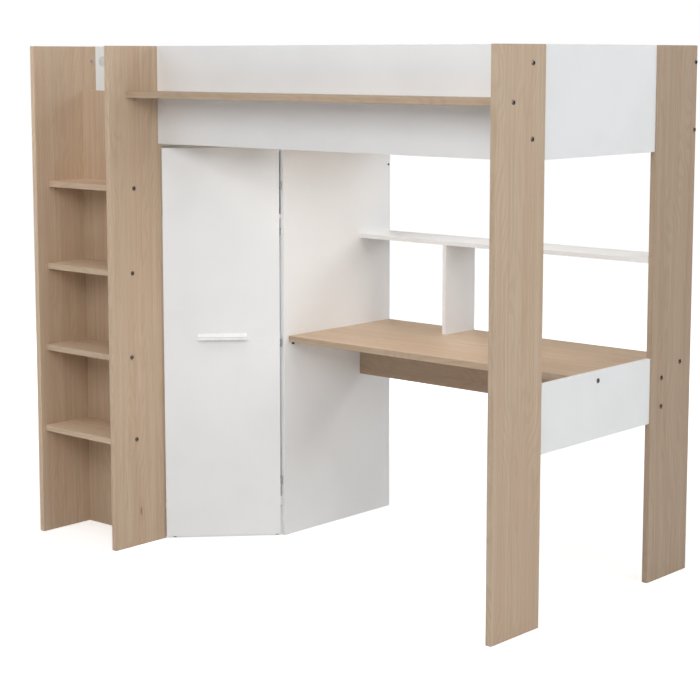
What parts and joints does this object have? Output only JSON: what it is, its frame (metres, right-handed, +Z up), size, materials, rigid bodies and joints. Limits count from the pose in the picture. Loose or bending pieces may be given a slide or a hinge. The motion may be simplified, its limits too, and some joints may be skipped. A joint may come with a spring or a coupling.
{
  "type": "loft bed with desk",
  "caption": "High single bed with guard boards, step ladder and bedside shelf over a desk with a small shelf and a corner wardrobe with one hinged door set at a slant.",
  "frame": {"origin": "middle of the footprint on the floor", "axes": "+X along the bed towards the desk end, +Y towards the wall, +Z up"},
  "size_m": [2.071, 1.172, 1.8],
  "materials": {
    "oak_foil": "light oak grain foil on chipboard, matt",
    "white_board": "white foil on chipboard, satin",
    "plain_wood": "plain planed softwood and beech",
    "white_plastic": "white moulded plastic",
    "grey_plastic": "grey moulded plastic",
    "nickel_steel": "nickel-plated steel",
    "dark_steel": "dark nickel-plated steel",
    "black_steel": "black oxide steel",
    "strap_cloth": "woven white strap"
  },
  "bodies": {
    "frame": {"post_front_right": "oak_foil", "post_rear_right": "oak_foil", "post_front_left": "oak_foil", "post_rear_left": "oak_foil", "ladder_side_panel": "oak_foil", "ladder_back_panel": "oak_foil", "ladder_step_1": "oak_foil", "ladder_step_2": "oak_foil", "ladder_step_3": "oak_foil", "ladder_step_4": "oak_foil", "guard_board_front": "white_board", "board_rear": "white_board", "end_panel_upper_right": "white_board", "end_panel_lower_right": "white_board", "end_panel_upper_left": "white_board", "bedside_shelf": "oak_foil", "desk_top": "oak_foil", "modesty_rail": "oak_foil", "hutch_shelf": "white_board", "hutch_divider": "white_board", "wardrobe_side_right": "white_board", "wardrobe_side_left": "white_board", "wardrobe_back": "white_board", "wardrobe_floor": "white_board", "wardrobe_top": "white_board", "wardrobe_hat_shelf": "white_board", "wardrobe_stretcher": "white_board", "wardrobe_plinth": "white_board", "plinth_glides": "grey_plastic", "hanging_rail": "nickel_steel", "rail_sockets": "nickel_steel", "hinge_arms": "nickel_steel", "hinge_pins": "nickel_steel", "slat_rail_front": "plain_wood", "slat_rail_rear": "plain_wood", "rail_screws": "nickel_steel", "slats": "plain_wood", "slat_straps": "strap_cloth", "frame_bolts": "dark_steel", "cross_nuts": "nickel_steel", "connector_rods": "nickel_steel", "connector_nuts": "nickel_steel", "connector_caps": "white_plastic", "cam_locks": "nickel_steel", "cam_pins": "nickel_steel", "dowels": "plain_wood", "shelf_pins": "nickel_steel", "desk_pins": "black_steel", "stretcher_screws": "black_steel"},
    "door": {"wardrobe_door": "white_board", "door_handle": "white_plastic", "handle_screws": "nickel_steel", "hinge_cups": "nickel_steel"}
  },
  "joints": [
    {"name": "door_swing", "type": "hinge", "parent": "frame", "child": "door", "pos_m": [-0.30998, -0.03406, 0], "axis": [0, 0, 1], "range_deg": [0, 95]}
  ]
}
